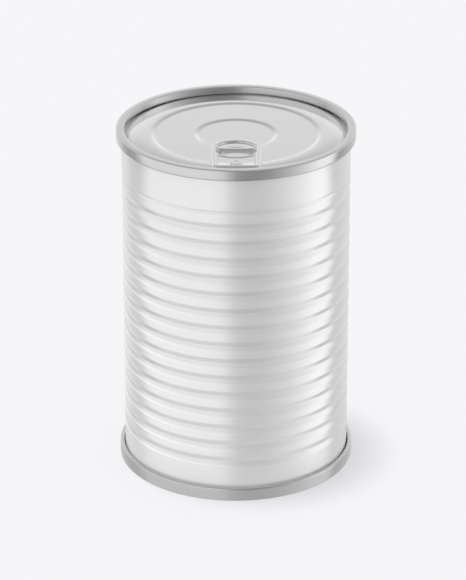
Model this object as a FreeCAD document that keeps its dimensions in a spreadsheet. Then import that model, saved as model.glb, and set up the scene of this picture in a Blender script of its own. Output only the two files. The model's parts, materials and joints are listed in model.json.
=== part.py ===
import FreeCAD, Part
import math
import os
import re
import Sketcher

# A beaded steel tin: a welded body, a bottom end and a ring-pull lid, both ends
# double seamed on to the body. The base circle's centre is the origin, +Z is up,
# and the tab lies on the -Y side of the lid with its ring towards the middle.
# All lengths are millimetres and all angles degrees.

document = FreeCAD.newDocument("ring_pull_tin")

# Driving sizes
sizes = {
    # body
    "can_height": 114.0,
    "body_radius": 36.5,
    "body_wall": 0.2,
    "foot_plain": 10.3,         # plain wall below the grooves
    "head_plain": 16.0,         # least plain wall above the grooves
    "groove_pitch": 5.77,
    "groove_half": 1.85,        # half the height of one groove
    "groove_depth": 0.52,
    "lead_gap": 2.4,            # from the grooved wall up to the shallow lead groove
    "lead_half": 0.85,
    "lead_depth": 0.2,
    # ends and double seams
    "end_wall": 0.25,
    "lid_seam_height": 3.6,
    "foot_seam_height": 4.45,
    "seam_corner": 0.4,         # outer rounding of the seam's rim
    "chuck_corner": 0.4,        # its inner rounding
    "lap_clearance": 0.3,       # between two layers of a seam
    "chuck_clearance": 0.55,    # between the body and the chuck wall inside it
    "compound_clearance": 0.05,
    "compound_half": 0.2,
    "chuck_draft": 0.1,         # how far the chuck wall leans in
    "moat_width": 0.85,         # the ring groove at the chuck wall's foot
    "moat_depth": 3.8,
    "panel_drop": 2.25,
    "panel_inner_bend": 0.05,
    "panel_lip": 0.5,           # from the moat's inner wall to the score
    "score_gap": 0.25,
    # panel steps
    "outer_step_inset": 7.6,    # from the score to the outer step
    "inner_step_radius": 12.55,
    "step_half": 0.9,
    "step_depth": 0.3,
    # side stripe
    "stripe_wall": 0.06,
    "stripe_clearance": 0.04,
    "stripe_angle": 9.0,
    "stripe_margin": 1.5,       # from the moat's height to the stripe's end
    # tab, tongue and rivet
    "nose_inset": 3.2,          # from the score to the nose's centre
    "tab_length": 23.5,
    "tab_width": 15.9,
    "tab_thickness": 1.05,
    "tab_lift": 0.15,           # air between the tab and the panel
    "tab_metal": 0.25,
    "curl_rounding": 0.45,
    "arm_width": 2.05,
    "ring_side": 1.5,
    "ring_end": 2.3,
    "arm_taper": 10.0,          # from the nose to where the tab is at its widest
    "nose_taper": 0.55,
    "nose_corner": 1.2,
    "nose_bar": 1.0,            # from the nose's centre to the opening
    "tongue_clearance": 0.3,
    "tongue_length": 9.1,
    "tongue_dip": 1.9,          # how far the tongue's free edge curves in
    "tongue_height": 0.35,      # tongue's underside above the panel
    "rivet_inset": 3.4,         # from the nose's centre to the rivet
    "rivet_shank": 1.2,
    "rivet_foot": 1.5,
    "rivet_head": 1.9,
    "rivet_head_height": 0.4,
    "rivet_rounding": 0.2,
    "rivet_clearance": 0.05,
    # finger well
    "well_reach": 17.6,         # from the nose's centre to the well's straight edge
    "well_half": 5.8,
    "well_side": 1.6,
    "well_length": 6.8,
    "well_depth": 0.65,
}

# Sizes that follow from the driving ones
derived = {
    "wall_in": "(body_radius - body_wall)",
    "chuck_out": "(wall_in - chuck_clearance)",
    "chuck_in": "(chuck_out - end_wall)",
    "end_hook_in": "(body_radius + lap_clearance)",
    "end_hook_out": "(end_hook_in + end_wall)",
    "body_hook_in": "(end_hook_out + lap_clearance)",
    "body_hook_out": "(body_hook_in + body_wall)",
    "skirt_in": "(body_hook_out + lap_clearance)",
    "seam_radius": "(skirt_in + end_wall)",
    "curl_out": "((seam_radius - end_hook_in) / 2)",
    "curl_in": "(curl_out - end_wall)",
    "curl_middle": "(seam_radius - curl_out)",
    "lid_curl_depth": "(lid_seam_height - curl_out)",
    "foot_curl_depth": "(foot_seam_height - curl_out)",
    "crown_out": "((body_hook_out - wall_in) / 2)",
    "crown_in": "(crown_out - body_wall)",
    "crown_middle": "(wall_in + crown_out)",
    "crown_depth": "(end_wall + lap_clearance + crown_out)",
    "lid_hook_end": "(lid_seam_height - end_wall - lap_clearance)",
    "foot_hook_end": "(foot_seam_height - end_wall - lap_clearance)",
    "moat_out": "(chuck_in - chuck_draft)",
    "moat_bend": "(moat_width / 2)",
    "moat_middle": "(moat_out - moat_bend)",
    "moat_in": "(moat_out - moat_width)",
    "moat_floor": "(moat_depth - moat_bend)",
    "score_out": "(moat_in - panel_lip)",
    "score_in": "(score_out - score_gap)",
    "outer_step": "(score_out - outer_step_inset)",
    "step_bend": "((step_half ^ 2 + step_depth ^ 2 / 4) / step_depth)",
    "panel_bend": "(end_wall + panel_inner_bend)",
    "panel_top": "(can_height - panel_drop)",
    "groove_count": "floor((can_height - foot_plain - head_plain) / groove_pitch)",
    "grooves_top": "(foot_plain + groove_count * groove_pitch)",
    "lead_middle": "(grooves_top + lead_gap)",
    "groove_bend": "((groove_half ^ 2 + groove_depth ^ 2) / (4 * groove_depth))",
    "lead_bend": "((lead_half ^ 2 + lead_depth ^ 2) / (4 * lead_depth))",
    "nose_y": "(nose_inset - score_out)",
    "tab_middle": "(panel_top + tab_lift + tab_thickness / 2)",
    "tab_half": "(tab_width / 2)",
    "tab_end": "(tab_length - tab_thickness / 2)",
    "ring_middle": "(tab_end - tab_half)",
    "hole_half": "(tab_half - ring_side)",
    "hole_middle": "(tab_end - ring_end - hole_half)",
    "slot_half": "(tab_half - arm_width)",
    "tongue_half": "(slot_half - tongue_clearance)",
    "tongue_start": "(nose_bar + tongue_clearance)",
    "tongue_end": "(tongue_start + tongue_length)",
    "well_floor": "(panel_top - step_depth)",
    "well_far": "(nose_y + well_reach)",
}

sheet = document.addObject("Spreadsheet::Sheet", "size")
for row, (name, value) in enumerate(sizes.items(), start=1):
    sheet.set(f"A{row}", name)
    sheet.set(f"B{row}", str(value))
    sheet.setAlias(f"B{row}", name)
document.recompute()

word = re.compile(r"[a-z]+(?:_[a-z]+)*")


def bind(formula):
    """A formula of size names as an expression on the sheet."""
    def swap(found):
        name = found.group(0)
        if name in derived:
            return bind(derived[name])
        return f"size.{name}" if name in sizes else name
    return word.sub(swap, str(formula))


def value(formula):
    return float(sheet.evalExpression(bind(formula)))


def originPlane(body, role):
    return next(f for f in body.Origin.OriginFeatures if f.Role == role)


def newBody(name):
    body = document.addObject("PartDesign::Body", name)
    body.Label = name
    return body


def newSketch(body, name, role, height=None):
    """A sketch on one of the body's own origin planes, raised by a formula."""
    sketch = body.newObject("Sketcher::SketchObject", name)
    sketch.AttachmentSupport = [(originPlane(body, role), "")]
    sketch.MapMode = "FlatFace"
    if height is not None:
        sketch.setExpression("AttachmentOffset.Base.z", bind(height))
    return sketch


def pin(sketch, kind, geometry, point, formula):
    """Holds one coordinate of a sketch point to a formula."""
    if str(formula) == "0":
        axis = -2 if kind == "DistanceX" else -1
        sketch.addConstraint(Sketcher.Constraint("PointOnObject", geometry, point, axis))
        return
    index = sketch.addConstraint(
        Sketcher.Constraint(kind, -1, 1, geometry, point, value(formula)))
    sketch.setExpression(f"Constraints[{index}]", bind(formula))


def drawOutline(sketch, corners):
    """A closed outline. Each corner is (x, y) or (x, y, turn, radius): turn is +1
    where an arc bends left on its way to the next corner and -1 where it bends right."""
    spots = [FreeCAD.Vector(value(corner[0]), value(corner[1]), 0) for corner in corners]
    edges = []
    for number, corner in enumerate(corners):
        start, end = spots[number], spots[(number + 1) % len(spots)]
        if len(corner) == 2:
            geometry = sketch.addGeometry(Part.LineSegment(start, end))
            edges.append((geometry, 1, 2))
            continue
        turn, radius = corner[2], value(corner[3])
        chord = end - start
        left = FreeCAD.Vector(-chord.y, chord.x, 0).normalize()
        reach = math.sqrt(max(radius ** 2 - (chord.Length / 2) ** 2, 0))
        centre = (start + end) / 2 + left * (turn * reach)
        first, last = (start, end) if turn > 0 else (end, start)
        angles = [math.atan2(spot.y - centre.y, spot.x - centre.x) for spot in (first, last)]
        circle = Part.Circle(centre, FreeCAD.Vector(0, 0, 1), radius)
        geometry = sketch.addGeometry(Part.ArcOfCircle(circle, angles[0], angles[1]))
        edges.append((geometry, 1, 2) if turn > 0 else (geometry, 2, 1))
    for number, (geometry, start, end) in enumerate(edges):
        following = edges[(number + 1) % len(edges)]
        sketch.addConstraint(
            Sketcher.Constraint("Coincident", geometry, end, following[0], following[1]))
        pin(sketch, "DistanceX", geometry, start, corners[number][0])
        pin(sketch, "DistanceY", geometry, start, corners[number][1])
        if len(corners[number]) > 2:
            radius = corners[number][3]
            index = sketch.addConstraint(Sketcher.Constraint("Radius", geometry, value(radius)))
            sketch.setExpression(f"Constraints[{index}]", bind(radius))


def drawCircle(sketch, x, y, radius):
    centre = FreeCAD.Vector(value(x), value(y), 0)
    circle = Part.Circle(centre, FreeCAD.Vector(0, 0, 1), value(radius))
    geometry = sketch.addGeometry(circle)
    pin(sketch, "DistanceX", geometry, 3, x)
    pin(sketch, "DistanceY", geometry, 3, y)
    index = sketch.addConstraint(Sketcher.Constraint("Radius", geometry, value(radius)))
    sketch.setExpression(f"Constraints[{index}]", bind(radius))


def revolve(body, name, corners, angle=360):
    """Turns an outline of (radius, height) corners about the body's Z axis."""
    sketch = newSketch(body, name + "_section", "XZ_Plane")
    drawOutline(sketch, corners)
    feature = body.newObject("PartDesign::Revolution", name)
    feature.Profile = sketch
    feature.ReferenceAxis = (sketch, ["V_Axis"])
    feature.Angle = 360
    if angle != 360:
        feature.setExpression("Angle", bind(angle))
    sketch.Visibility = False
    document.recompute()
    return feature


def pad(body, name, sketch, length, reverse=False):
    feature = body.newObject("PartDesign::Pad", name)
    feature.Profile = sketch
    feature.setExpression("Length", bind(length))
    feature.Reversed = reverse
    sketch.Visibility = False
    document.recompute()
    return feature


# One groove rolled into the wall, as corners going up the outside of the sheet
def grooveUp(radius, middle, half, depth, bend):
    return [
        (radius, f"{middle} - {half}", 1, bend),
        (f"{radius} - {depth} / 2", f"{middle} - {half} / 2", -1, bend),
        (f"{radius} - {depth} / 2", f"{middle} + {half} / 2", 1, bend),
        (radius, f"{middle} + {half}"),
    ]


def grooveDown(radius, middle, half, depth, bend):
    """The same groove going down the inside of the sheet."""
    return [
        (radius, f"{middle} + {half}", -1, bend),
        (f"{radius} - {depth} / 2", f"{middle} + {half} / 2", 1, bend),
        (f"{radius} - {depth} / 2", f"{middle} - {half} / 2", -1, bend),
        (radius, f"{middle} - {half}"),
    ]


def groovedWall(body, outside, thickness, angle=360):
    """The repeated grooves: one pitch of wall, patterned up the body."""
    middle = "(foot_plain + groove_pitch / 2)"
    inside = f"({outside} - {thickness})"
    groove = (middle, "groove_half", "groove_depth", "groove_bend")
    corners = [(inside, "foot_plain"), (outside, "foot_plain")]
    corners += grooveUp(outside, *groove)
    corners += [(outside, "foot_plain + groove_pitch"), (inside, "foot_plain + groove_pitch")]
    corners += grooveDown(inside, *groove)
    unit = revolve(body, body.Label + "_groove", corners, angle)
    pattern = body.newObject("PartDesign::LinearPattern", body.Label + "_grooves")
    pattern.Originals = [unit]
    pattern.Direction = (originPlane(body, "Z_Axis"), [""])
    pattern.setExpression("Length", bind("(groove_count - 1) * groove_pitch"))
    pattern.setExpression("Occurrences", bind("groove_count"))
    body.Tip = pattern
    document.recompute()


def headWall(outside, thickness):
    """Plain wall above the grooves with the shallow lead groove: the corners of its
    outside going up and of its inside going down."""
    inside = f"({outside} - {thickness})"
    lead = ("lead_middle", "lead_half", "lead_depth", "lead_bend")
    rising = [(outside, "grooves_top")] + grooveUp(outside, *lead)
    falling = grooveDown(inside, *lead) + [(inside, "grooves_top")]
    return rising, falling


def bodyHook(end):
    """The flange of the body turned over into a hook. end is +1 at the top."""
    def height(depth):
        return f"can_height - {depth}" if end > 0 else depth
    tip = "lid_hook_end" if end > 0 else "foot_hook_end"
    return [
        ("body_radius", height("crown_depth"), -end, "crown_in"),
        ("crown_middle", height("(crown_depth - crown_in)"), -end, "crown_in"),
        ("body_hook_in", height("crown_depth")),
        ("body_hook_in", height(tip)),
        ("body_hook_out", height(tip)),
        ("body_hook_out", height("crown_depth"), end, "crown_out"),
        ("crown_middle", height("(crown_depth - crown_out)"), end, "crown_out"),
        ("wall_in", height("crown_depth")),
    ]


def makeCanBody():
    body = newBody("can_body")
    groovedWall(body, "body_radius", "body_wall")
    rising, falling = headWall("body_radius", "body_wall")
    revolve(body, "head", rising + bodyHook(1) + falling)
    foot = [("wall_in", "foot_plain"), ("body_radius", "foot_plain")] + bodyHook(-1)
    revolve(body, "foot", foot)
    return body


def makeSideStripe():
    """The lacquer stripe sprayed over the side weld inside the body, at the back."""
    body = newBody("side_stripe")
    outside = "(wall_in - stripe_clearance)"
    inside = f"({outside} - stripe_wall)"
    groovedWall(body, outside, "stripe_wall", "stripe_angle")
    top = "can_height - moat_depth - end_wall - stripe_margin"
    rising, falling = headWall(outside, "stripe_wall")
    revolve(body, "stripe_head", rising + [(outside, top), (inside, top)] + falling,
            "stripe_angle")
    low = "moat_depth + end_wall + stripe_margin"
    revolve(body, "stripe_foot", [
        (inside, low), (outside, low), (outside, "foot_plain"), (inside, "foot_plain"),
    ], "stripe_angle")
    body.setExpression("Placement.Rotation.Angle", bind("90 - stripe_angle / 2"))
    return body


def seamedRim(end):
    """The sheet of an end from the panel's edge over the seam to the hook's tip and
    back, as corners that start and finish at the panel. end is +1 at the top."""
    def height(depth):
        return f"can_height - {depth}" if end > 0 else depth
    tall = "lid_seam_height" if end > 0 else "foot_seam_height"
    curl = "lid_curl_depth" if end > 0 else "foot_curl_depth"
    visible = [
        ("moat_in - panel_bend", height("panel_drop"), -end, "panel_bend"),
        ("moat_in", height("(panel_drop + panel_bend)")),
        ("moat_in", height("moat_floor"), end, "moat_bend"),
        ("moat_middle", height("moat_depth"), end, "moat_bend"),
        ("moat_out", height("moat_floor")),
        ("chuck_in", height("chuck_corner"), -end, "chuck_corner"),
        ("chuck_in + chuck_corner", height("0")),
        ("seam_radius - seam_corner", height("0"), -end, "seam_corner"),
        ("seam_radius", height("seam_corner")),
        ("seam_radius", height(curl), -end, "curl_out"),
        ("curl_middle", height(tall), -end, "curl_out"),
        ("end_hook_in", height(curl)),
        ("end_hook_in", height("crown_depth")),
    ]
    hidden = [
        ("end_hook_out", height("crown_depth")),
        ("end_hook_out", height(curl), end, "curl_in"),
        ("curl_middle", height(f"({curl} + curl_in)"), end, "curl_in"),
        ("skirt_in", height(curl)),
        ("skirt_in", height("seam_corner"), end, "seam_corner - end_wall"),
        ("seam_radius - seam_corner", height("end_wall")),
        ("chuck_in + chuck_corner", height("end_wall"), end, "chuck_corner - end_wall"),
        ("chuck_out", height("chuck_corner")),
        ("moat_out + end_wall", height("moat_floor"), -end, "moat_bend + end_wall"),
        ("moat_middle", height("(moat_depth + end_wall)"), -end, "moat_bend + end_wall"),
        ("moat_in - end_wall", height("moat_floor")),
        ("moat_in - end_wall", height("(panel_drop + panel_bend)"), end,
         "panel_inner_bend"),
        ("moat_in - panel_bend", height("(panel_drop + end_wall)")),
    ]
    return visible + hidden


def step(radius, depth, end, outward):
    """One ring step of a panel, crossed on the way out or on the way in."""
    def height(more):
        return f"can_height - ({depth} + {more})" if end > 0 else f"{depth} + {more}"
    low = (f"{radius} - step_half", height("step_depth"))
    middle = (radius, height("step_depth / 2"))
    high = (f"{radius} + step_half", height("0"))
    first, last = (low, high) if outward else (high, low)
    return [first + (end, "step_bend"), middle + (-end, "step_bend"), last]


def panelFaces(end):
    """The panel's outer face from its middle out, and its inner face on the way back."""
    def height(depth):
        return f"can_height - ({depth})" if end > 0 else depth
    middle = "panel_drop + 2 * step_depth"
    outward = [("0", height(middle))]
    outward += step("inner_step_radius", "panel_drop + step_depth", end, True)
    outward += step("outer_step", "panel_drop", end, True)
    inward = step("outer_step", "panel_drop + end_wall", end, False)
    inward += step("inner_step_radius", "panel_drop + end_wall + step_depth", end, False)
    inward += [("0", height(middle + " + end_wall"))]
    return outward, inward


def makeBottomEnd():
    body = newBody("bottom_end")
    outward, inward = panelFaces(-1)
    revolve(body, "bottom_sheet", outward + seamedRim(-1) + inward)
    return body


def makeLidRing():
    """What stays on the can when the lid is torn off: seam, chuck wall and score lip."""
    body = newBody("lid_ring")
    lip = [("score_out", "panel_top - end_wall"), ("score_out", "panel_top")]
    revolve(body, "lid_ring_sheet", lip + seamedRim(1))
    return body


def makeCompound(name, end):
    """The sealing compound between a body's crown and the end folded over it."""
    def height(depth):
        return f"can_height - {depth}" if end > 0 else depth
    body = newBody(name)
    low = "(crown_depth - crown_out - compound_clearance)"
    high = "(end_wall + compound_clearance)"
    revolve(body, name + "_ring", [
        ("crown_middle + compound_half", height(low)),
        ("crown_middle - compound_half", height(low)),
        ("crown_middle - compound_half", height(high)),
        ("crown_middle + compound_half", height(high)),
    ])
    return body


def wellOutline(grow):
    """The finger well seen from above: straight towards the middle, round to the nose."""
    half = f"(well_half + {grow})"
    drop = f"(well_length - well_side + {grow})"
    bend = f"(({half} ^ 2 + {drop} ^ 2) / (2 * {drop}))"
    shoulder = "well_far - well_side"
    return [
        (f"-{half}", shoulder, 1, bend),
        ("0", f"well_far - well_length - {grow}", 1, bend),
        (half, shoulder),
        (half, f"well_far + {grow}"),
        (f"-{half}", f"well_far + {grow}"),
    ]


def makeTearPanel():
    body = newBody("tear_panel")
    outward, inward = panelFaces(1)
    edge = [("score_in", "panel_top"), ("score_in", "panel_top - end_wall")]
    revolve(body, "panel_sheet", outward + edge + inward)
    tub = newSketch(body, "well_outside", "XY_Plane", "well_floor")
    drawOutline(tub, wellOutline("end_wall"))
    pad(body, "well_tub", tub, "well_depth + end_wall", reverse=True)
    hollow = newSketch(body, "well_inside", "XY_Plane", "well_floor")
    drawOutline(hollow, wellOutline("0"))
    well = body.newObject("PartDesign::Pocket", "finger_well")
    well.Profile = hollow
    well.setExpression("Length", bind("well_depth"))
    document.recompute()
    return body


def makeRivet():
    """The stud drawn up out of the panel, its head spread over the tongue."""
    body = newBody("rivet")
    under = "tongue_height - rivet_clearance"
    neck = "(tongue_height + tab_metal + rivet_clearance)"
    head = f"{neck} + rivet_head_height"
    revolve(body, "rivet_stud", [
        ("0", "0"),
        ("rivet_foot", "0"),
        ("rivet_foot", under),
        ("rivet_shank", under),
        ("rivet_shank", neck),
        ("rivet_head", neck),
        ("rivet_head", f"{head} - rivet_rounding", 1, "rivet_rounding"),
        ("rivet_head - rivet_rounding", head),
        ("0", head),
    ])
    body.setExpression("Placement.Base.y", bind("nose_y + rivet_inset"))
    body.setExpression("Placement.Base.z", bind("panel_top"))
    return body


def makeTongue():
    """The middle of the tab's web, held by the rivet and cut free of the arms."""
    body = newBody("tab_tongue")
    sketch = newSketch(body, "tongue_outline", "XY_Plane")
    dip = "((tongue_half ^ 2 + tongue_dip ^ 2) / (2 * tongue_dip))"
    drawOutline(sketch, [
        ("-tongue_half", "tongue_start"),
        ("tongue_half", "tongue_start"),
        ("tongue_half", "tongue_end", -1, dip),
        ("-tongue_half", "tongue_end"),
    ])
    drawCircle(sketch, "0", "rivet_inset", "rivet_shank + rivet_clearance")
    pad(body, "tongue_plate", sketch, "tab_metal")
    body.setExpression("Placement.Base.y", bind("nose_y"))
    body.setExpression("Placement.Base.z", bind("panel_top + tongue_height"))
    return body


def rimEdges(shape):
    """Names of the edges round the outside of a plate's two flat faces."""
    chosen = []
    for face in shape.Faces:
        if abs(face.normalAt(0, 0).z) > 0.99:
            chosen += face.OuterWire.Edges
    return [f"Edge{number}" for number, edge in enumerate(shape.Edges, start=1)
            if any(edge.isSame(other) for other in chosen)]


def makePullTab():
    """The ring, arms and nose that lift together; the nose's centre is its own zero."""
    body = newBody("pull_tab")
    outline = newSketch(body, "tab_outline", "XY_Plane", "-tab_thickness / 2")
    nose = "(tab_half - nose_taper)"
    front = "tab_thickness / 2"
    drawOutline(outline, [
        (f"-({nose} - nose_corner)", f"-{front}"),
        (f"{nose} - nose_corner", f"-{front}", 1, "nose_corner"),
        (nose, f"nose_corner - {front}"),
        ("tab_half", "arm_taper"),
        ("tab_half", "ring_middle", 1, "tab_half"),
        ("0", "tab_end", 1, "tab_half"),
        ("-tab_half", "ring_middle"),
        ("-tab_half", "arm_taper"),
        (f"-{nose}", f"nose_corner - {front}", 1, "nose_corner"),
    ])
    drawOutline(outline, [
        ("-slot_half", "nose_bar"),
        ("slot_half", "nose_bar"),
        ("slot_half", "tongue_end"),
        ("hole_half", "hole_middle", 1, "hole_half"),
        ("0", "hole_middle + hole_half", 1, "hole_half"),
        ("-hole_half", "hole_middle"),
        ("-slot_half", "tongue_end"),
    ])
    plate = pad(body, "tab_plate", outline, "tab_thickness")
    curl = body.newObject("PartDesign::Fillet", "tab_curl")
    curl.Base = (plate, rimEdges(plate.Shape))
    curl.setExpression("Radius", bind("curl_rounding"))
    body.setExpression("Placement.Base.y", bind("nose_y"))
    body.setExpression("Placement.Base.z", bind("tab_middle"))
    return body


subparts = [
    makeCanBody(),
    makeSideStripe(),
    makeBottomEnd(),
    makeCompound("bottom_seam_compound", -1),
    makeLidRing(),
    makeCompound("top_seam_compound", 1),
    makeTearPanel(),
    makeRivet(),
    makeTongue(),
    makePullTab(),
]
document.recompute()

for item in document.Objects:
    if {"Invalid", "Error"} & set(item.State):
        raise RuntimeError(f"{item.Label} did not recompute: {item.State}")
for body in subparts:
    if body.Shape.isNull() or not body.Shape.isValid() or len(body.Shape.Solids) != 1:
        raise RuntimeError(f"{body.Label} is not one valid solid")

os.makedirs("parts", exist_ok=True)
for body in subparts:
    body.Shape.exportStep(f"parts/{body.Label}.step")
    box = body.Shape.BoundBox
    print(f"{body.Label}: {body.Shape.Volume:.1f} mm3, z {box.ZMin:.2f} to {box.ZMax:.2f}, "
          f"y {box.YMin:.2f} to {box.YMax:.2f}")
print(f"tab hinge line: y {value('nose_y'):.3f}, z {value('tab_middle'):.3f}")
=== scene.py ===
import json
import math

import bpy
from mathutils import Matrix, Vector


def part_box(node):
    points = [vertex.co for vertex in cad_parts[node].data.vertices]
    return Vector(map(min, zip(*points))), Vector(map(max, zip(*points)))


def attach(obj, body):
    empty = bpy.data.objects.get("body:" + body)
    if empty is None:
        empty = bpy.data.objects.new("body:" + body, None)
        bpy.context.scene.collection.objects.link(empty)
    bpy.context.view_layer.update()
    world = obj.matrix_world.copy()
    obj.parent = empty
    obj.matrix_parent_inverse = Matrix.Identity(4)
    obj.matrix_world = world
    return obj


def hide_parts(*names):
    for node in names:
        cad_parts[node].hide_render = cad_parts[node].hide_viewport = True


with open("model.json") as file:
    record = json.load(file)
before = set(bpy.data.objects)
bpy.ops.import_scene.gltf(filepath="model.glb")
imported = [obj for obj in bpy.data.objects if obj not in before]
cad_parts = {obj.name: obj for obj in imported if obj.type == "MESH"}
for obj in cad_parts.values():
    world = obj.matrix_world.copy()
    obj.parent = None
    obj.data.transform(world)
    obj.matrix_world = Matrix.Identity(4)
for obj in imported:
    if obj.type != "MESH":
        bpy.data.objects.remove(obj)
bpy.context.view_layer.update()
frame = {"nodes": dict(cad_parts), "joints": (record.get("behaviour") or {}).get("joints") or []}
mm = 0.001

# where the frame puts things, in millimetres
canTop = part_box("lid_ring")[1].z / mm
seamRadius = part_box("lid_ring")[1].x / mm
tabHinge = next(joint for joint in frame["joints"] if joint["name"] == "tab_lift")
noseY, tabMiddle = tabHinge["pos_m"][1] / mm, tabHinge["pos_m"][2] / mm

sheet = {"bodyWall": 0.2, "endWall": 0.25, "lap": 0.3, "chuckPlay": 0.55}
body = {"radius": 36.5, "footPlain": 10.3, "pitch": 5.77, "grooves": 15, "grooveHalf": 1.85,
        "grooveDepth": 0.5, "crestRadius": 1.1, "valleyRadius": 0.65, "leadGap": 2.4,
        "leadHalf": 0.8, "leadDepth": 0.16, "leadCrest": 0.9, "leadValley": 0.6, "turns": 180}
stripe = {"gap": 0.04, "wall": 0.06, "angle": 9.0, "margin": 1.75, "turns": 8}
weld = {"rise": 0.035, "wall": 0.05, "start": 89.1, "angle": 1.1, "seamGap": 0.15, "turns": 4}
seam = {"lidHeight": 3.6, "footHeight": 4.45, "corner": 0.4, "chuckCorner": 0.4, "draft": 0.1,
        "moatWidth": 0.85, "moatDepth": 3.8, "panelDrop": 2.25, "panelBend": 0.3, "lip": 0.5,
        "turns": 180}
panel = {"scoreGap": 0.08, "outerInset": 7.6, "innerRadius": 12.55, "stepHalf": 0.9,
         "stepDepth": 0.3, "turns": 360}
well = {"reach": 17.6, "half": 5.8, "side": 1.6, "length": 6.8, "depth": 0.62, "soft": 0.4}
tab = {"length": 23.5, "width": 15.9, "thick": 1.05, "arm": 2.05, "ringSide": 1.5,
       "ringEnd": 2.3, "taperStart": 10.0, "noseTaper": 0.55, "noseCorner": 1.2, "noseBar": 1.0,
       "curl": 0.5, "slotEnd": 9.3, "slotCorner": 0.3, "slotFlare": 0.35, "straight": 3.0}
tongue = {"half": 5.6, "start": 1.2, "end": 10.4, "dip": 1.8, "height": 0.35, "metal": 0.25,
          "lipRise": 0.2, "foldRise": 0.3}
rivet = {"inset": 3.4, "head": 1.9, "foot": 1.5, "shank": 1.2, "headHeight": 0.4, "play": 0.05,
         "rounding": 0.18, "dimple": 0.09, "dimpleEdge": 0.62, "crownEdge": 0.95,
         "crownBend": 0.2, "neckStep": 0.1, "footHeight": 0.3, "footBend": 0.1, "turns": 72}

wallIn = body["radius"] - sheet["bodyWall"]
chuckIn = wallIn - sheet["chuckPlay"] - sheet["endWall"]
endHookIn = body["radius"] + sheet["lap"]
bodyHookIn = endHookIn + sheet["endWall"] + sheet["lap"]
bodyHookOut = bodyHookIn + sheet["bodyWall"]
crownOut = (bodyHookOut - wallIn) / 2
crownIn = crownOut - sheet["bodyWall"]
crownMiddle = wallIn + crownOut
crownDepth = sheet["endWall"] + sheet["lap"] + crownOut
curl = (seamRadius - endHookIn) / 2
moatOut = chuckIn - seam["draft"]
moatBend = seam["moatWidth"] / 2
moatIn = moatOut - seam["moatWidth"]
scoreOut = moatIn - seam["lip"]


# small tools

def arc(x, y, radius, start, end, pieces):
    angles = [math.radians(start + (end - start) * n / pieces) for n in range(pieces + 1)]
    return [(x + radius * math.cos(a), y + radius * math.sin(a)) for a in angles]


def onlySelect(piece):
    bpy.ops.object.select_all(action="DESELECT")
    piece.select_set(True)
    bpy.context.view_layer.objects.active = piece


def addModifier(piece, kind, **settings):
    onlySelect(piece)
    modifier = piece.modifiers.new(kind.title(), kind)
    for key, value in settings.items():
        setattr(modifier, key, value)
    bpy.ops.object.modifier_apply(modifier=modifier.name)


def thicken(piece, wall):
    # the sheet grows away from its outer face, so the outer face keeps its place
    addModifier(piece, "SOLIDIFY", thickness=wall * mm, offset=-1.0, use_even_offset=True)


def smooth(piece, angle=40):
    onlySelect(piece)
    bpy.ops.object.shade_smooth_by_angle(angle=math.radians(angle))


def traceLine(name, points):
    # one vertex, extruded from point to point
    bpy.ops.object.select_all(action="DESELECT")
    bpy.ops.mesh.primitive_plane_add(size=mm, location=points[0])
    bpy.ops.object.transform_apply(location=True, rotation=True, scale=True)
    piece = bpy.context.object
    piece.name = name
    bpy.ops.object.mode_set(mode="EDIT")
    bpy.ops.mesh.select_all(action="SELECT")
    bpy.ops.mesh.merge(type="CENTER")
    for here, there in zip(points, points[1:]):
        move = Vector(there) - Vector(here)
        bpy.ops.mesh.extrude_vertices_move(TRANSFORM_OT_translate={"value": move})
    return piece


def lathe(name, profile, turns, y=0.0, start=0.0, sweep=360.0, outward=True):
    # profile is (radius, height) in millimetres; the line is spun about a vertical axis
    away = Vector((math.cos(math.radians(start)), math.sin(math.radians(start)), 0))
    axis = Vector((0, y * mm, 0))
    points = [axis + away * (r * mm) + Vector((0, 0, z * mm)) for r, z in profile]
    piece = traceLine(name, points)
    bpy.ops.mesh.select_all(action="SELECT")
    bpy.ops.mesh.spin(steps=turns, angle=math.radians(sweep), center=axis, axis=(0, 0, 1))
    bpy.ops.mesh.select_all(action="SELECT")
    bpy.ops.mesh.remove_doubles(threshold=0.002 * mm)
    bpy.ops.mesh.normals_make_consistent(inside=False)
    if not outward:
        bpy.ops.mesh.flip_normals()
    bpy.ops.object.mode_set(mode="OBJECT")
    return piece


def faceOut(piece, spot, direction):
    # turns a sheet over when the face nearest to a spot looks the wrong way
    spot = Vector(spot) * mm
    nearest = min(piece.data.polygons, key=lambda face: (face.center - spot).length)
    if nearest.normal.dot(Vector(direction)) < 0:
        onlySelect(piece)
        bpy.ops.object.mode_set(mode="EDIT")
        bpy.ops.mesh.select_all(action="SELECT")
        bpy.ops.mesh.flip_normals()
        bpy.ops.object.mode_set(mode="OBJECT")


# profiles

def rolledGroove(middle, half, depth, crest, valley):
    # round shoulder, straight flank and round valley, mirrored about the middle, upwards
    bends = crest + valley
    tilt = math.degrees(math.asin(bends / math.hypot(half, bends - depth))
                        - math.atan2(bends - depth, half))
    upper = arc(-crest, half, crest, 0, -tilt, 4)
    lower = arc(valley - depth, 0, valley, 180 - tilt, 180, 3)
    side = upper + lower
    points = [(r, middle - z) for r, z in side] + [(r, middle + z) for r, z in reversed(side[:-1])]
    return [(body["radius"] + r, z) for r, z in points]


def bodyHook(top):
    # from the wall over the crown into the hook: the body's outer face
    line = [(body["radius"], crownDepth)]
    line += arc(crownMiddle, crownDepth, crownIn, 180, 360, 10)[1:]
    tall = seam["lidHeight"] if top else seam["footHeight"]
    line += [(bodyHookIn, tall - sheet["endWall"] - sheet["lap"])]
    return [(r, canTop - d) if top else (r, d) for r, d in line]


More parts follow.
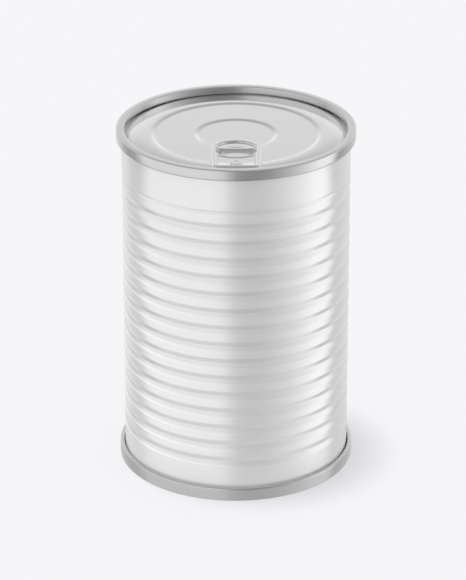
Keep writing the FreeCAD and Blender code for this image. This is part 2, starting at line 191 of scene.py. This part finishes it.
def wallProfile(hooks=True):
    bends = (body["crestRadius"], body["valleyRadius"])
    grooved = []
    for number in range(body["grooves"]):
        middle = body["footPlain"] + body["pitch"] * (number + 0.5)
        grooved += rolledGroove(middle, body["grooveHalf"], body["grooveDepth"], *bends)
    lead = body["footPlain"] + body["pitch"] * body["grooves"] + body["leadGap"]
    grooved += rolledGroove(lead, body["leadHalf"], body["leadDepth"], body["leadCrest"],
                            body["leadValley"])
    if hooks:
        return list(reversed(bodyHook(False))) + grooved + bodyHook(True)
    low = seam["moatDepth"] + stripe["margin"]
    return [(body["radius"], low)] + grooved + [(body["radius"], canTop - low)]


def rimProfile(top):
    # the visible face of an end from the panel's edge over the seam to the hook
    corner, inner = seam["corner"], seam["chuckCorner"]
    tall = seam["lidHeight"] if top else seam["footHeight"]
    line = arc(moatIn - seam["panelBend"], -(seam["panelDrop"] + seam["panelBend"]),
               seam["panelBend"], 90, 0, 6)
    line += arc(moatIn + moatBend, moatBend - seam["moatDepth"], moatBend, 180, 360, 14)
    line += arc(chuckIn + inner, -inner, inner, 180, 90, 7)
    line += arc(seamRadius - corner, -corner, corner, 90, 0, 9)
    line += arc(seamRadius - curl, curl - tall, curl, 0, -180, 14)
    line += [(endHookIn, -crownDepth)]
    return [(r, canTop + z) if top else (r, -z) for r, z in line]


def panelProfile(top):
    # from the panel's middle out over its two ring steps
    half, drop = panel["stepHalf"], panel["stepDepth"]
    bend = (half ** 2 + drop ** 2 / 4) / drop
    tilt = math.degrees(math.asin(half / bend))
    level = -seam["panelDrop"] - 2 * drop
    line = [(0.0, level)]
    for radius in (panel["innerRadius"], scoreOut - panel["outerInset"]):
        line += arc(radius - half, level + bend, bend, -90, tilt - 90, 5)
        line += arc(radius + half, level + drop - bend, bend, 90 + tilt, 90, 5)[1:]
        level += drop
    return [(r, canTop + z) if top else (r, -z) for r, z in line]


def filled(profile, gap):
    # puts more points on the long runs, so that they can be pressed into shape
    made = [profile[0]]
    for (r0, z0), (r1, z1) in zip(profile, profile[1:]):
        pieces = max(1, math.ceil(abs(r1 - r0) / gap))
        made += [(r0 + (r1 - r0) * n / pieces, z0 + (z1 - z0) * n / pieces)
                 for n in range(1, pieces + 1)]
    return made


# materials

class Nodes:
    # a short way to add and join nodes
    def __init__(self, tree):
        self.tree = tree

    def add(self, kind, **settings):
        node = self.tree.nodes.new(kind)
        for key, value in settings.items():
            if key in node.inputs.keys():
                node.inputs[key].default_value = value
            else:
                setattr(node, key, value)
        return node

    def join(self, output, socket):
        self.tree.links.new(output, socket)

    def ramp(self, source, stops):
        node = self.add("ShaderNodeValToRGB")
        elements = node.color_ramp.elements
        while len(elements) < len(stops):
            elements.new(0.5)
        for element, (place, tone) in zip(elements, stops):
            element.position = place
            element.color = (tone, tone, tone, 1) if isinstance(tone, float) else (*tone, 1)
        self.join(source, node.inputs["Fac"])
        return node.outputs["Color"]

    def noise(self, stretch, scale, detail=3.0, rough=0.55, place="Object"):
        spot = self.add("ShaderNodeTexCoord")
        mapping = self.add("ShaderNodeMapping")
        mapping.inputs["Scale"].default_value = stretch
        noise = self.add("ShaderNodeTexNoise", Scale=scale, Detail=detail, Roughness=rough)
        self.join(spot.outputs[place], mapping.inputs["Vector"])
        self.join(mapping.outputs["Vector"], noise.inputs["Vector"])
        return noise.outputs["Fac"]

    def maths(self, operation, first, second=None):
        node = self.add("ShaderNodeMath", operation=operation)
        for socket, value in zip(node.inputs, (first, second)):
            if isinstance(value, (int, float)):
                socket.default_value = value
            elif value is not None:
                self.join(value, socket)
        return node.outputs[0]

    def spread(self, source, low, high):
        # noise rarely leaves the middle of its range, so that part is stretched to the ends
        node = self.add("ShaderNodeMapRange")
        node.inputs["From Min"].default_value = 0.3
        node.inputs["From Max"].default_value = 0.7
        node.inputs["To Min"].default_value = low
        node.inputs["To Max"].default_value = high
        self.join(source, node.inputs["Value"])
        return node.outputs["Result"]


def tinplate(name, look):
    # rolled sheet: fine grain along the rolling direction, soft blotches and stray scratches
    material = bpy.data.materials.new(name)
    material.use_nodes = True
    nodes = Nodes(material.node_tree)
    shader = material.node_tree.nodes["Principled BSDF"]
    shader.inputs["Metallic"].default_value = look["metallic"]
    grain = nodes.noise(look["grain"], look["grainScale"], detail=4.0)
    blotch = nodes.noise((1, 1, 1), look["blotchScale"], detail=2.0)
    scratch = nodes.noise(look["scratch"], look["scratchScale"], detail=1.0)
    lines = nodes.ramp(scratch, [(0.0, 0.0), (0.675, 0.0), (0.70, 1.0), (0.725, 0.0), (1.0, 0.0)])
    tone = nodes.maths("ADD", nodes.spread(grain, -look["vary"], look["vary"]),
                       nodes.spread(blotch, -look["vary"], look["vary"]))
    # base colour made lighter on sharp convex edges, by each look's edge share
    convexity = nodes.add("ShaderNodeNewGeometry")
    edge = nodes.ramp(convexity.outputs["Pointiness"], [(0.0, 0.0), (0.52, 0.0), (0.6, 1.0)])
    tone = nodes.maths("ADD", tone, nodes.maths("MULTIPLY", edge, look["edge"]))
    mix = nodes.add("ShaderNodeMix", data_type="RGBA")
    mix.inputs["A"].default_value = (*look["dark"], 1)
    mix.inputs["B"].default_value = (*look["light"], 1)
    nodes.join(nodes.maths("ADD", tone, 0.5), mix.inputs["Factor"])
    nodes.join(mix.outputs["Result"], shader.inputs["Base Color"])
    low, high = look["rough"]
    rough = nodes.maths("ADD", nodes.spread(grain, low, high),
                        nodes.maths("MULTIPLY", lines, look["scratchRough"]))
    nodes.join(rough, shader.inputs["Roughness"])
    height = nodes.maths("ADD", nodes.maths("MULTIPLY", grain, look["grainDepth"]),
                         nodes.maths("MULTIPLY", lines, -look["scratchDepth"]))
    height = nodes.maths("ADD", height, nodes.maths("MULTIPLY", blotch, look["waviness"]))
    bump = nodes.add("ShaderNodeBump", Strength=look["bump"], Distance=look["bumpReach"] * mm)
    nodes.join(height, bump.inputs["Height"])
    nodes.join(bump.outputs["Normal"], shader.inputs["Normal"])
    return material


bodyLook = {"metallic": 0.54, "dark": (0.86, 0.86, 0.865), "light": (0.94, 0.94, 0.945),
            "vary": 0.12, "grain": (12, 12, 1500), "grainScale": 1.0, "blotchScale": 55.0,
            "scratch": (30, 30, 500), "scratchScale": 1.0, "scratchRough": 0.05,
            "rough": (0.18, 0.24), "grainDepth": 0.4, "scratchDepth": 0.3, "waviness": 1.2,
            "bump": 0.12, "bumpReach": 0.03, "edge": 0.3}
# the seams' tin is painted darker than the panel's, though rim and panel are one sheet: painted
# shade on the rims
shadedSeamLook = dict(bodyLook, metallic=1.0, dark=(0.72, 0.72, 0.725), light=(0.79, 0.79, 0.795),
                rough=(0.15, 0.21), edge=0.5)
panelLook = dict(bodyLook, metallic=1.0, dark=(0.84, 0.84, 0.845), light=(0.90, 0.90, 0.905),
                 grain=(12, 1500, 12), scratch=(25, 420, 25), rough=(0.10, 0.15), edge=0.1)
tabLook = dict(panelLook, grain=(900, 14, 14), scratch=(400, 25, 25), rough=(0.10, 0.16))
insideLook = dict(bodyLook, metallic=0.75, dark=(0.80, 0.74, 0.60), light=(0.87, 0.81, 0.67),
                  rough=(0.2, 0.28))

bodyTin = tinplate("coatedBodyTin", bodyLook)
shadedSeamTin = tinplate("seamTinPaintedShade", shadedSeamLook)
panelTin = tinplate("satinPanelTin", panelLook)
tabTin = tinplate("satinTabTin", tabLook)
insideTin = tinplate("lacqueredInsideTin", insideLook)


filmSpeckle = 900.0


def sealant(name, dark, light, roughness, metallic=0.0):
    # sprayed or flowed-in film with an uneven skin
    material = bpy.data.materials.new(name)
    material.use_nodes = True
    nodes = Nodes(material.node_tree)
    shader = material.node_tree.nodes["Principled BSDF"]
    shader.inputs["Metallic"].default_value = metallic
    cloud = nodes.noise((1, 1, 1), filmSpeckle, detail=3.0)
    mix = nodes.add("ShaderNodeMix", data_type="RGBA")
    mix.inputs["A"].default_value = (*dark, 1)
    mix.inputs["B"].default_value = (*light, 1)
    nodes.join(nodes.spread(cloud, 0.0, 1.0), mix.inputs["Factor"])
    nodes.join(mix.outputs["Result"], shader.inputs["Base Color"])
    nodes.join(nodes.spread(cloud, roughness - 0.05, roughness + 0.08), shader.inputs["Roughness"])
    bump = nodes.add("ShaderNodeBump", Strength=0.3, Distance=0.02 * mm)
    nodes.join(cloud, bump.inputs["Height"])
    nodes.join(bump.outputs["Normal"], shader.inputs["Normal"])
    return material


compoundFilm = sealant("seamCompound", (0.42, 0.38, 0.30), (0.56, 0.51, 0.42), 0.6)
stripeFilm = sealant("stripeLacquer", (0.62, 0.50, 0.26), (0.74, 0.61, 0.36), 0.3, 0.4)
print("materials made")


# the body

def finish(piece, material, rider, nodeNames, inside=None):
    piece.data.materials.clear()
    piece.data.materials.append(material)
    if inside is not None:
        piece.data.materials.append(inside)
    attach(piece, rider)
    if nodeNames:
        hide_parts(*nodeNames)
    return piece


def makeBody():
    piece = lathe("rolledBody", wallProfile(), body["turns"])
    faceOut(piece, (body["radius"], 0, body["footPlain"]), (1, 0, 0))
    finish(piece, bodyTin, "can", ["can_body"], insideTin)
    addModifier(piece, "SOLIDIFY", thickness=sheet["bodyWall"] * mm, offset=-1.0,
                use_even_offset=True, material_offset=1)
    smooth(piece)


def makeSideStripe():
    inset = sheet["bodyWall"] + stripe["gap"]
    line = [(r - inset, z) for r, z in wallProfile(hooks=False)]
    piece = lathe("insideStripe", line, stripe["turns"], start=90 - stripe["angle"] / 2,
                  sweep=stripe["angle"])
    faceOut(piece, (0, body["radius"] - inset, body["footPlain"]), (0, 1, 0))
    thicken(piece, stripe["wall"])
    finish(piece, stripeFilm, "can", ["side_stripe"])
    smooth(piece)


def makeWeldLap():
    # the sheet's free edge, welded down over the other one at the back
    line = [(r + weld["rise"], z) for r, z in wallProfile(hooks=False)[1:-1]]
    line = [(line[0][0], seam["footHeight"] + weld["seamGap"])] + line
    line += [(line[0][0], canTop - seam["lidHeight"] - weld["seamGap"])]
    piece = lathe("weldLap", line, weld["turns"], start=weld["start"], sweep=weld["angle"])
    faceOut(piece, (0, body["radius"], body["footPlain"]), (0, 1, 0))
    thicken(piece, weld["wall"])
    finish(piece, shadedSeamTin, "can", [])
    smooth(piece)


makeBody()
makeSideStripe()
makeWeldLap()
print("body made")


# the two ends

def makeBottom():
    line = panelProfile(False) + rimProfile(False)
    piece = lathe("bottomEnd", line, seam["turns"])
    faceOut(piece, (seamRadius, 0, 2.0), (1, 0, 0))
    thicken(piece, sheet["endWall"])
    finish(piece, shadedSeamTin, "can", ["bottom_end"])
    smooth(piece)


def makeLidRing():
    line = [(scoreOut, canTop - seam["panelDrop"])] + rimProfile(True)
    piece = lathe("lidRing", line, seam["turns"])
    faceOut(piece, (seamRadius, 0, canTop - 2.0), (1, 0, 0))
    thicken(piece, sheet["endWall"])
    finish(piece, shadedSeamTin, "can", ["lid_ring"])
    smooth(piece)


def wellDrop(x, y):
    # how deep the finger well is at a place on the panel
    far = noseY + well["reach"]
    drop = well["length"] - well["side"]
    bend = (well["half"] ** 2 + drop ** 2) / (2 * drop)
    middle = far - well["length"] + bend
    inside = min(far - y, well["half"] - abs(x))
    if y < middle:
        inside = min(far - y, bend - math.hypot(x, y - middle))
    share = min(max(inside / well["soft"], 0.0), 1.0)
    return well["depth"] * share * share * (3 - 2 * share)


def cutAcross(piece, spots, direction):
    # extra edges across the well's surroundings, so that its straight side is crisp
    far = noseY + well["reach"]
    for spot in spots:
        onlySelect(piece)
        bpy.ops.object.mode_set(mode="EDIT")
        bpy.ops.mesh.select_all(action="DESELECT")
        bpy.ops.object.mode_set(mode="OBJECT")
        for face in piece.data.polygons:
            x, y = face.center.x / mm, face.center.y / mm
            face.select = abs(x) < well["half"] + 1.5 and far - well["length"] - 1 < y < far + 1
        bpy.ops.object.mode_set(mode="EDIT")
        place = Vector(direction) * (spot * mm)
        bpy.ops.mesh.bisect(plane_co=place, plane_no=direction, threshold=1e-6)
        bpy.ops.object.mode_set(mode="OBJECT")


def makePanel():
    edge = scoreOut - panel["scoreGap"]
    top = canTop - seam["panelDrop"]
    line = filled(panelProfile(True), 0.45) + [(edge - 0.12, top), (edge, top - 0.05)]
    piece = lathe("tearPanel", line, panel["turns"])
    faceOut(piece, (20, 0, top), (0, 0, 1))
    far = noseY + well["reach"]
    soft = well["soft"]
    cutAcross(piece, [far - soft * n / 4 for n in range(5)], (0, 1, 0))
    for side in (-1, 1):
        cutAcross(piece, [side * (well["half"] - soft * n / 2) for n in range(3)], (side, 0, 0))
    for vertex in piece.data.vertices:
        x, y = vertex.co.x / mm, vertex.co.y / mm
        if abs(x) < well["half"] and noseY < y < far:
            vertex.co.z -= wellDrop(x, y) * mm
    thicken(piece, sheet["endWall"])
    finish(piece, panelTin, "lid_panel", ["tear_panel"])
    smooth(piece)


makeBottom()
makeLidRing()
makePanel()
print("ends made")


# rivet, tongue and tab

def makeRivet():
    base = canTop - seam["panelDrop"]
    neck = base + tongue["height"] + tongue["metal"] + rivet["play"]
    head = neck + rivet["headHeight"]
    rounding, bend, foot = rivet["rounding"], rivet["crownBend"], rivet["footBend"]
    line = [(0.0, head - rivet["dimple"])]
    line += arc(rivet["dimpleEdge"], head - rivet["dimple"] + bend, bend, -90, -50, 3)
    line += arc(rivet["crownEdge"], head - bend, bend, 130, 90, 3)
    line += arc(rivet["head"] - rounding, head - rounding, rounding, 90, 0, 6)
    line += [(rivet["head"] - 0.03, neck + 0.04), (rivet["head"] - rivet["neckStep"], neck)]
    line += [(rivet["shank"], neck), (rivet["shank"], base + tongue["height"] - rivet["play"])]
    line += arc(rivet["foot"] - foot, base + rivet["footHeight"] - foot, foot, 90, 0, 3)
    line += [(rivet["foot"], base), (0.0, base)]
    piece = lathe("tabRivet", line, rivet["turns"], y=noseY + rivet["inset"])
    finish(piece, tabTin, "lid_panel", ["rivet"])
    smooth(piece, 30)


def makeTongue():
    low = canTop - seam["panelDrop"] + tongue["height"] + tongue["metal"]
    lip = tongue["lipRise"]
    # (how far from the free edge, rise above the plate) across the rolled lip
    rows = [(0.0, -0.3), (0.03, -0.12), (0.1, lip - 0.08), (0.24, lip), (0.45, lip),
            (0.62, lip - 0.06), (0.8, 0.06), (0.98, 0.0), (1.6, 0.0), (3.0, 0.0), (4.4, 0.0)]
    columns = 48
    bpy.ops.object.select_all(action="DESELECT")
    bpy.ops.mesh.primitive_grid_add(x_subdivisions=columns, y_subdivisions=len(rows) + 6, size=mm)
    piece = bpy.context.object
    piece.name = "tabTongue"
    span = tongue["end"] - tongue["start"]
    bend = (tongue["half"] ** 2 + tongue["dip"] ** 2) / (2 * tongue["dip"])
    for number, vertex in enumerate(piece.data.vertices):
        row, column = divmod(number, columns + 1)
        x = tongue["half"] * (2 * column / columns - 1)
        dip = math.sqrt(bend ** 2 - x ** 2) - (bend - tongue["dip"])
        edge = tongue["end"] - dip
        if row < len(rows):
            back, rise = rows[row]
        else:
            share = (row - len(rows) + 1) / 7
            back = rows[-1][0] + (edge - tongue["start"] - rows[-1][0]) * share
            rise = tongue["foldRise"] * max(0.0, (share - 0.35) / 0.65) ** 1.5
        vertex.co = Vector((x, noseY + edge - back, low + rise)) * mm
    faceOut(piece, (0, noseY + tongue["start"] + span / 3, low), (0, 0, 1))
    thicken(piece, tongue["metal"])
    addModifier(piece, "BEVEL", width=0.05 * mm, segments=2, limit_method="ANGLE",
                angle_limit=math.radians(50))
    finish(piece, tabTin, "lid_panel", ["tab_tongue"])
    smooth(piece, 50)


def tabOutline():
    # the right half of the tab's outside, from the middle of the nose to the ring's end
    half, front = tab["width"] / 2, -tab["thick"] / 2
    nose, corner = half - tab["noseTaper"], tab["noseCorner"]
    end = tab["length"] + front
    line = [(x, front) for x in (0.0, 2.0, 4.0)]
    line += arc(nose - corner, corner + front, corner, -90, 0, 8)
    line += [(nose + tab["noseTaper"] * n / 6, corner + front + (tab["taperStart"] - corner) * n / 6)
             for n in range(1, 7)]
    line += [(half, tab["taperStart"] + tab["straight"])]
    line += arc(0, end - half, half, 0, 90, 22)
    return line


def tabHole():
    # the right half of the opening, from the nose bar to the ring's end
    half = tab["width"] / 2
    slot, hole = half - tab["arm"], half - tab["ringSide"]
    middle = tab["length"] - tab["thick"] / 2 - tab["ringEnd"] - hole
    line = [(x, tab["noseBar"]) for x in (0.0, 1.8, 3.6)]
    corner, start = tab["slotCorner"], tab["noseBar"] + tab["slotCorner"]
    line += arc(slot - corner, start, corner, -90, 0, 8)
    line += [(slot, start + (tab["slotEnd"] - start) * n / 6) for n in range(1, 7)]
    line += [(slot + tab["slotFlare"], tab["slotEnd"] + tab["straight"])]
    line += arc(0, middle, hole, 0, 90, 22)
    return line


def makeTab():
    outside, hole = tabOutline(), tabHole()
    rows = []
    for line in (outside, hole):
        mirrored = [(-x, y) for x, y in reversed(line[1:-1])]
        rows.append([Vector((x, noseY + y, tabMiddle + tab["thick"] / 2)) * mm
                     for x, y in line + mirrored])
    count = len(rows[0])
    bpy.ops.object.select_all(action="DESELECT")
    bpy.ops.mesh.primitive_circle_add(vertices=count, radius=0.01)
    piece = bpy.context.object
    piece.name = "pullTab"
    for vertex, spot in zip(piece.data.vertices, rows[0]):
        vertex.co = spot
    bpy.ops.mesh.primitive_circle_add(vertices=count, radius=0.005)
    inner = bpy.context.object
    for vertex, spot in zip(inner.data.vertices, rows[1]):
        vertex.co = spot
    onlySelect(piece)
    inner.select_set(True)
    bpy.ops.object.join()
    bpy.ops.object.mode_set(mode="EDIT")
    bpy.ops.mesh.select_all(action="SELECT")
    bpy.ops.mesh.bridge_edge_loops()
    bpy.ops.mesh.normals_make_consistent(inside=False)
    bpy.ops.object.mode_set(mode="OBJECT")
    faceOut(piece, (0, noseY + tab["length"] - 1.4, tabMiddle), (0, 0, 1))
    thicken(piece, tab["thick"])
    addModifier(piece, "BEVEL", width=tab["curl"] * mm, segments=6, limit_method="ANGLE",
                angle_limit=math.radians(60))
    finish(piece, tabTin, "tab", ["pull_tab"])
    smooth(piece, 50)


makeRivet()
makeTongue()
makeTab()
for node in ("bottom_seam_compound", "top_seam_compound"):
    frame["nodes"][node].data.materials.clear()
    frame["nodes"][node].data.materials.append(compoundFilm)
print("tab made")


# floor, light and camera

# the floor glows a little, so that only the key light's shadow shows on it
floorLook = {"glow": (0.615, 0.615, 0.632), "albedo": (0.12, 0.12, 0.12), "size": 12.0}


def mirrorOnly(piece):
    # only mirror-like surfaces see this piece of the studio
    piece.visible_camera = False
    piece.visible_diffuse = False
    piece.visible_transmission = False
    piece.visible_shadow = False


def makeFloor():
    bpy.ops.object.select_all(action="DESELECT")
    bpy.ops.mesh.primitive_plane_add(size=floorLook["size"], location=(0, 0, 0))
    floor = bpy.context.object
    floor.name = "studioFloor"
    material = bpy.data.materials.new("paleFloor")
    material.use_nodes = True
    shader = material.node_tree.nodes["Principled BSDF"]
    shader.inputs["Base Color"].default_value = (*floorLook["albedo"], 1)
    shader.inputs["Roughness"].default_value = 1.0
    shader.inputs["Specular IOR Level"].default_value = 0.0
    shader.inputs["Emission Color"].default_value = (*floorLook["glow"], 1)
    shader.inputs["Emission Strength"].default_value = 1.0
    floor.data.materials.append(material)
    floor.visible_glossy = False


# the pale floor round the tin as its foot mirrors it, which fades out as (share of the
# radius, strength)
footing = {"radius": 75.0, "tone": 0.55,
           "stops": [(0.5, 0.66), (0.62, 0.66), (0.9, 0.0), (1.0, 0.0)]}


def makeFooting():
    bpy.ops.object.select_all(action="DESELECT")
    bpy.ops.mesh.primitive_circle_add(vertices=96, radius=footing["radius"] * mm, fill_type="NGON")
    disc = bpy.context.object
    disc.name = "studioFooting"
    material = bpy.data.materials.new("footingGlow")
    material.use_nodes = True
    nodes = Nodes(material.node_tree)
    material.node_tree.nodes.clear()
    spot = nodes.add("ShaderNodeTexCoord")
    length = nodes.add("ShaderNodeVectorMath", operation="LENGTH")
    nodes.join(spot.outputs["Object"], length.inputs[0])
    away = nodes.maths("DIVIDE", length.outputs["Value"], footing["radius"] * mm)
    share = nodes.ramp(away, footing["stops"])
    clear = nodes.add("ShaderNodeBsdfTransparent")
    glow = nodes.add("ShaderNodeEmission", Strength=footing["tone"])
    mix = nodes.add("ShaderNodeMixShader")
    nodes.join(share, mix.inputs["Fac"])
    nodes.join(clear.outputs[0], mix.inputs[1])
    nodes.join(glow.outputs[0], mix.inputs[2])
    output = nodes.add("ShaderNodeOutputMaterial")
    nodes.join(mix.outputs[0], output.inputs["Surface"])
    disc.data.materials.append(material)
    mirrorOnly(disc)


# what the tin mirrors: pale walls with soft dark flags, as (degrees to the right of the
# viewer's side, brightness), and the share of it at each height
around = [(-180, 0.84), (-150, 0.75), (-143, 0.69), (-130, 0.46), (-124, 0.42), (-114, 0.43),
          (-109, 0.52), (-100, 0.86), (-96, 0.89), (-29, 0.89), (-13, 0.82), (-6, 0.56),
          (2, 0.37), (12, 0.34), (25, 0.34), (37, 0.43), (54, 0.61), (67, 0.79), (84, 1.08),
          (98, 1.14), (105, 1.05), (112, 0.5), (117, 0.42), (120, 0.43), (134, 0.58),
          (162, 0.74), (180, 0.84)]
upward = [(-90, 0.5), (-58, 0.58), (-44, 0.67), (-36, 0.98), (-8, 1.0), (4, 0.86), (14, 0.84),
          (30, 0.78), (50, 0.55), (90, 0.5)]
# behind the tin, over the floor: (degrees above the horizon, brightness)
behind = [(-10, 1.0), (8, 0.95), (16, 0.9), (20.6, 0.84), (22.0, 0.77), (26, 0.64), (32, 0.55),
          (50, 0.46), (90, 0.42)]
# how far each part of the dome reaches, as shares of its radius
room = {"radius": 6.0, "ambient": (0.95, 0.95, 0.965), "ceiling": 0.42,
        "behindFrom": 0.1, "behindFull": 0.45, "overFloor": 0.1,
        "ceilingFrom": 0.6, "ceilingFull": 0.85}


def makeRoom():
    bpy.ops.object.select_all(action="DESELECT")
    bpy.ops.mesh.primitive_uv_sphere_add(segments=64, ring_count=32, radius=room["radius"])
    dome = bpy.context.object
    dome.name = "studioRoom"
    material = bpy.data.materials.new("studioWalls")
    material.use_nodes = True
    nodes = Nodes(material.node_tree)
    material.node_tree.nodes.clear()
    spot = nodes.add("ShaderNodeTexCoord")
    unit = nodes.add("ShaderNodeVectorMath", operation="NORMALIZE")
    parts = nodes.add("ShaderNodeSeparateXYZ")
    nodes.join(spot.outputs["Object"], unit.inputs[0])
    nodes.join(unit.outputs[0], parts.inputs["Vector"])
    x, y, z = parts.outputs
    turn = nodes.maths("ARCTAN2", x, nodes.maths("MULTIPLY", y, -1.0))
    turn = nodes.maths("ADD", nodes.maths("DIVIDE", turn, 2 * math.pi), 0.5)
    height = nodes.maths("ADD", nodes.maths("DIVIDE", nodes.maths("ARCSINE", z), math.pi), 0.5)

    def band(source, span, stops):
        return nodes.ramp(source, [(angle / span + 0.5, float(tone)) for angle, tone in stops])

    wall = nodes.maths("MULTIPLY", band(height, 180, upward), band(turn, 360, around))

    def blend(first, second, factor):
        node = nodes.add("ShaderNodeMix", data_type="FLOAT")
        nodes.join(factor, node.inputs["Factor"])
        nodes.join(first, node.inputs["A"])
        if isinstance(second, float):
            node.inputs["B"].default_value = second
        else:
            nodes.join(second, node.inputs["B"])
        return node.outputs["Result"]

    back = nodes.ramp(y, [(room["behindFrom"], 0.0), (room["behindFull"], 1.0)])
    above = nodes.ramp(z, [(0.0, 0.0), (room["overFloor"], 1.0)])
    roof = nodes.ramp(z, [(room["ceilingFrom"], 0.0), (room["ceilingFull"], 1.0)])
    tone = blend(wall, band(height, 180, behind), nodes.maths("MULTIPLY", back, above))
    tone = blend(tone, room["ceiling"], roof)
    glow = nodes.add("ShaderNodeEmission")
    nodes.join(tone, glow.inputs["Color"])
    output = nodes.add("ShaderNodeOutputMaterial")
    nodes.join(glow.outputs[0], output.inputs["Surface"])
    dome.data.materials.append(material)
    mirrorOnly(dome)


def makeWorld():
    world = bpy.data.worlds.new("studioAmbient")
    bpy.context.scene.world = world
    world.use_nodes = True
    backdrop = world.node_tree.nodes["Background"]
    backdrop.inputs["Color"].default_value = (*room["ambient"], 1)
    world.cycles_visibility.glossy = False


# the key light hangs almost overhead; angles in degrees
key = {"tilt": 4.6, "turn": -12.0, "softness": 8.5, "energy": 5.0}


def makeSun():
    bpy.ops.object.light_add(type="SUN", location=(0, 0, 1.5))
    sun = bpy.context.object
    sun.name = "softKey"
    sun.data.energy = key["energy"]
    sun.data.angle = math.radians(key["softness"])
    turn, tilt = math.radians(key["turn"]), math.radians(key["tilt"])
    aim = Vector((math.cos(turn) * math.sin(tilt), math.sin(turn) * math.sin(tilt), -math.cos(tilt)))
    sun.rotation_euler = aim.to_track_quat("-Z", "Y").to_euler()
    sun.visible_glossy = False


# the camera looks down at the tin, a little left of its axis
view = {"down": 24.142, "distance": 1036.0, "height": 57.08, "left": 0.97, "lens": 198.4}


def makeCamera():
    down = math.radians(view["down"])
    place = (-view["left"] * mm, -view["distance"] * math.cos(down) * mm,
             (view["height"] + view["distance"] * math.sin(down)) * mm)
    bpy.ops.object.camera_add(location=place, rotation=(math.pi / 2 - down, 0, 0))
    camera = bpy.context.object
    camera.data.lens = view["lens"]
    camera.data.sensor_width = 36.0
    camera.data.clip_start = 0.01
    bpy.context.scene.camera = camera


makeFloor()
makeFooting()
makeRoom()
makeWorld()
makeSun()
makeCamera()
bpy.context.scene.view_settings.view_transform = "Standard"
print("studio made")
